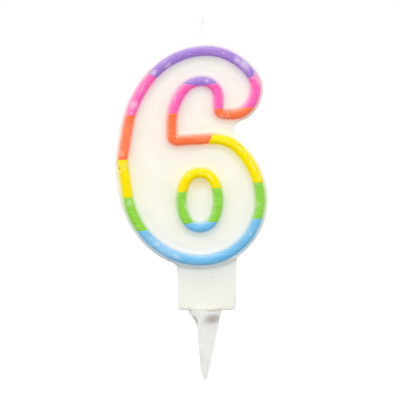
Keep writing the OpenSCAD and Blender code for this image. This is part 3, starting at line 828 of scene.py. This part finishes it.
def make_wax():
    """The wax body, with the ridge, the foot's step and the painted glow of the beads' colour."""
    piece = moulded_copy("wax_body", "wax", WAX_VOXEL, WAX_ROUNDS)
    height = rows_of(piece.data, "co")[:, Z]
    soften(piece, np.clip(1 - (height - FOOT_EDGE) / FOOT_EDGE_FADE, 0, 1))
    mesh = piece.data
    points = rows_of(mesh, "co")
    facing = np.clip(-rows_of(mesh, "normal")[:, Y], 0, 1)
    table = bead_distances(points)
    nearest = table.min(axis=0)
    on_foot = points[:, Z] < FOOT_TOP
    rise = eased(1 - nearest / RIDGE_REACH)
    dip = eased((nearest - FOOT_DIP_FROM) / FOOT_DIP_REACH)
    points[:, Y] -= np.where(on_foot, 0, RIDGE * rise * facing ** 2)
    points[:, Y] += np.where(on_foot, FOOT_DIP * dip * np.clip(points[:, Y] / FRONT, 0, 1), 0)
    points[:, Y] = np.minimum(points[:, Y], cad_high.y)
    set_points(mesh, points)
    # The painted glow is kept on the points as a colour
    attribute = mesh.color_attributes.new("bead_glow", "FLOAT_COLOR", "POINT")
    attribute.data.foreach_set("color", painted_bead_glow(table, facing).ravel())
    mesh.materials.append(wax_material())
    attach(piece, "candle")
    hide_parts("wax_body")


# Bead line: each length of colour, cut finer and gently uneven
def make_bead(node, material):
    """One length of the bead line."""
    piece = start_copy(node, node + "_bead")
    end_copy(piece)
    mesh = piece.data
    cut_long_edges(mesh)
    points = rows_of(mesh, "co")
    for index, point in enumerate(points):
        points[index] += wander(point)
    points[:, Y] = np.maximum(points[:, Y], cad_low.y)
    set_points(mesh, points)
    mesh.shade_smooth()
    mesh.set_sharp_from_angle(angle=SHARP_ANGLE)
    mesh.materials.append(material)
    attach(piece, "candle")
    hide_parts(node)


# Wick: twisted strands that end in a soft tip
def wick_route(share):
    """The point of the wick's middle line at a share of its length, and its direction there."""
    way = share * WICK_LENGTH
    up = Vector((0, 0, 1))
    if way < WICK_UPRIGHT:
        return WICK_FOOT + up * way, up
    turn = min((way - WICK_UPRIGHT) / WICK_BEND, WICK_LEAN)
    heading = Vector((math.sin(turn), 0, math.cos(turn)))
    bend = Vector((WICK_BEND * (1 - math.cos(turn)), 0, WICK_BEND * math.sin(turn)))
    rest = max(way - WICK_UPRIGHT - WICK_BEND_LENGTH, 0)
    return WICK_FOOT + up * WICK_UPRIGHT + bend + heading * rest, heading


def strand_points(strand):
    """The points of one strand, ring by ring from its foot to its tip."""
    points = []
    depth = Vector((0, 1, 0))
    for step in range(STRAND_STEPS + 1):
        share = step / STRAND_STEPS
        middle, heading = wick_route(share)
        side = heading.cross(depth).normalized()
        turn = 2 * math.pi * (share * WICK_LENGTH / STRAND_TURN + strand / STRANDS)
        off = side * math.cos(turn) + depth * math.sin(turn)
        to_tip = (1 - share) * WICK_LENGTH / STRAND_R
        radius = STRAND_R * math.sqrt(max(1 - max(1 - to_tip, 0) ** 2, TIP_LEAST))
        for corner in range(STRAND_SIDES):
            angle = 2 * math.pi * corner / STRAND_SIDES
            out = side * math.cos(angle) + depth * math.sin(angle)
            points.append(middle + off * STRAND_OFF + out * radius)
    return points


def strand_faces(first):
    """The faces of a strand whose points begin at a number: its sides, its foot and its tip."""
    faces = []
    for step in range(STRAND_STEPS):
        low = first + step * STRAND_SIDES
        high = low + STRAND_SIDES
        for corner in range(STRAND_SIDES):
            after = (corner + 1) % STRAND_SIDES
            faces.append((low + after, low + corner, high + corner, high + after))
    last = first + STRAND_STEPS * STRAND_SIDES
    faces.append([first + corner for corner in range(STRAND_SIDES)])
    faces.append([last + corner for corner in reversed(range(STRAND_SIDES))])
    return faces


def make_wick():
    """The wick's strands, as one mesh."""
    points = []
    faces = []
    for strand in range(STRANDS):
        faces += strand_faces(len(points))
        points += strand_points(strand)
    mesh = bpy.data.meshes.new("wick_strands")
    mesh.from_pydata(points, [], faces)
    mesh.shade_smooth()
    piece = add_object("wick_strands", mesh)
    mesh.materials.append(cotton_material())
    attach(piece, "candle")
    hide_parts("wick")


# Pick: moulded plastic with softened edges
def make_pick():
    """The plastic pick."""
    piece = moulded_copy("pick", "plastic_pick", PICK_VOXEL, PICK_ROUNDS)
    away = np.abs(rows_of(piece.data, "co")[:, Z] - HOLLOW_MIDDLE)
    soften(piece, np.clip(1 - (away - HOLLOW_REACH) / HOLLOW_FADE, 0, 1))
    piece.data.materials.append(plastic_material())
    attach(piece, "pick")
    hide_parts("pick")


# Stage: floor, world, lamps and camera
def seen_share(tree):
    """1 for what the camera, a reflection or a see-through piece looks at, and 0 for all other light."""
    path = add_node(tree, "LightPath")
    seen = math_of(tree, "MAXIMUM", path.outputs["Is Camera Ray"], path.outputs["Is Glossy Ray"])
    return math_of(tree, "MAXIMUM", seen, path.outputs["Is Transmission Ray"])


def end_tree(tree, kind, unseen, seen):
    """Gives a node tree its output: one shader for what is seen, and one for all other light."""
    both = add_node(tree, "MixShader", seen_share(tree), unseen.outputs[0], seen.outputs[0])
    put(tree, add_node(tree, kind).inputs["Surface"], both.outputs[0])


def make_floor():
    """A pale floor well below the pick, which keeps the candle's shadow and fades into the world."""
    corners = [(x * FLOOR_HALF, y * FLOOR_HALF, FLOOR_Z) for x, y in FLOOR_CORNERS]
    mesh = bpy.data.meshes.new("floor")
    mesh.from_pydata(corners, [], [(0, 1, 2, 3)])
    floor = add_object("floor", mesh)
    material = bpy.data.materials.new("floor")
    material.use_nodes = True
    tree = material.node_tree
    tree.nodes.clear()
    place = add_node(tree, "TexCoord").outputs["Object"]
    speckle = noise_of(tree, place, FLOOR_GRAIN)
    diffuse = add_node(tree, "BsdfDiffuse", mix_of(tree, speckle, FLOOR_PALE, FLOOR_SPECKLE))
    away = add_node(tree, "VectorMath", place, operation="LENGTH").outputs["Value"]
    lift = add_node(tree, "Emission", WHITE, range_of(tree, away, *FLOOR_LIFT_RANGE))
    lifted = add_node(tree, "AddShader", diffuse.outputs[0], lift.outputs[0])
    end_tree(tree, "OutputMaterial", add_node(tree, "BsdfDiffuse", FLOOR_BOUNCE), lifted)
    mesh.materials.append(material)


def make_world():
    """White to the camera and to reflections, and otherwise a fill that is weaker overhead."""
    world = bpy.data.worlds.new("studio")
    bpy.context.scene.world = world
    world.use_nodes = True
    tree = world.node_tree
    tree.nodes.clear()
    direction = add_node(tree, "TexCoord").outputs["Generated"]
    upward = add_node(tree, "SeparateXYZ", direction).outputs["Z"]
    fill = add_node(tree, "Background", WHITE, range_of(tree, upward, *FILL_RANGE))
    white = add_node(tree, "Background", WHITE, WHITE_STRENGTH)
    end_tree(tree, "OutputWorld", fill, white)


def make_lamp(name, lamp):
    """A softbox that faces the middle of the candle."""
    light = bpy.data.lights.new(name, "AREA")
    light.shape = "SQUARE"
    light.size = lamp.size
    light.energy = lamp.power
    holder = add_object(name, light)
    holder.location = lamp.place
    holder.rotation_mode = "QUATERNION"
    holder.rotation_quaternion = (LAMP_TARGET - Vector(lamp.place)).to_track_quat("-Z", "Y")


def make_camera():
    """The camera straight in front, framed as the photograph is."""
    camera = bpy.data.cameras.new("camera")
    camera.sensor_width = SENSOR
    camera.lens = SENSOR * CAMERA_AWAY / (PHOTO_SIDE * PIXEL)
    camera.clip_start = CLIP_START
    camera.clip_end = CLIP_END
    holder = add_object("camera", camera)
    holder.location = photo_point(PHOTO_SIDE / 2, PHOTO_SIDE / 2) - Vector((0, CAMERA_AWAY, 0))
    holder.rotation_euler = (CAMERA_TILT, 0, 0)
    bpy.context.scene.camera = holder


# The pieces and the stage, with one seed for the noise so that every run makes the same beads
noise.seed_set(WANDER_SEED)
make_wax()
bead_materials = {name: bead_material(name) for name in LOOKS}
for bead in BEADS:
    make_bead(bead, bead_materials[bead_colour(bead)])
make_wick()
make_pick()
make_floor()
make_world()
for lamp_name, lamp_facts in LAMPS.items():
    make_lamp(lamp_name, lamp_facts)
make_camera()
bpy.context.scene.view_settings.view_transform = "Standard"
